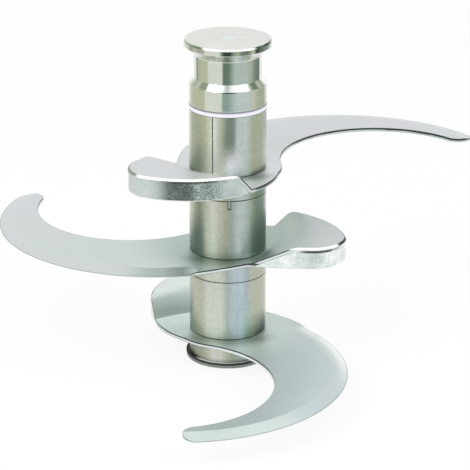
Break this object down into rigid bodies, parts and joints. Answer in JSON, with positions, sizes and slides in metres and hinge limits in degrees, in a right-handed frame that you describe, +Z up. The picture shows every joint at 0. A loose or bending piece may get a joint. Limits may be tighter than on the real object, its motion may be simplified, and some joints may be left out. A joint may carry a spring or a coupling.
{
  "type": "food processor blade",
  "caption": "Stacked stainless cutter for a vertical cutter mixer: sickle knives with counterweights, spaced by sleeves on a keyed hub with a clamp cap.",
  "frame": {"origin": "on the hub axis at the foot, where the spindle bore opens", "axes": "+Z up the hub axis towards the clamp cap, +X to the right and +Y away from a person who sees it as pictured"},
  "size_m": [0.318, 0.2883, 0.2168],
  "materials": {
    "cap_steel": "turned stainless steel with fine rings",
    "hub_steel": "turned and brushed stainless steel",
    "collar_steel": "turned stainless steel, bright",
    "knife_steel": "satin ground stainless sheet",
    "cast_steel": "cast stainless steel, mottled and bead blasted",
    "core_steel": "turned stainless steel",
    "key_steel": "ground key steel",
    "white_plastic": "white engineering plastic",
    "black_rubber": "black food-grade rubber"
  },
  "bodies": {
    "root": {"clamp_cap": "cap_steel", "cap_washer": "white_plastic", "core_shaft": "core_steel", "feather_key": "key_steel", "key_screws": "key_steel", "base_seal": "black_rubber", "lower_collar": "collar_steel", "lower_rivets": "key_steel", "lower_knife": "knife_steel", "lower_counterweight": "cast_steel", "lower_sleeve": "hub_steel", "middle_collar": "collar_steel", "middle_rivets": "key_steel", "middle_knife": "knife_steel", "middle_counterweight": "cast_steel", "middle_sleeve": "hub_steel", "upper_collar": "collar_steel", "upper_rivets": "key_steel", "upper_knife": "knife_steel", "upper_counterweight": "cast_steel", "upper_sleeve": "hub_steel"}
  },
  "joints": []
}
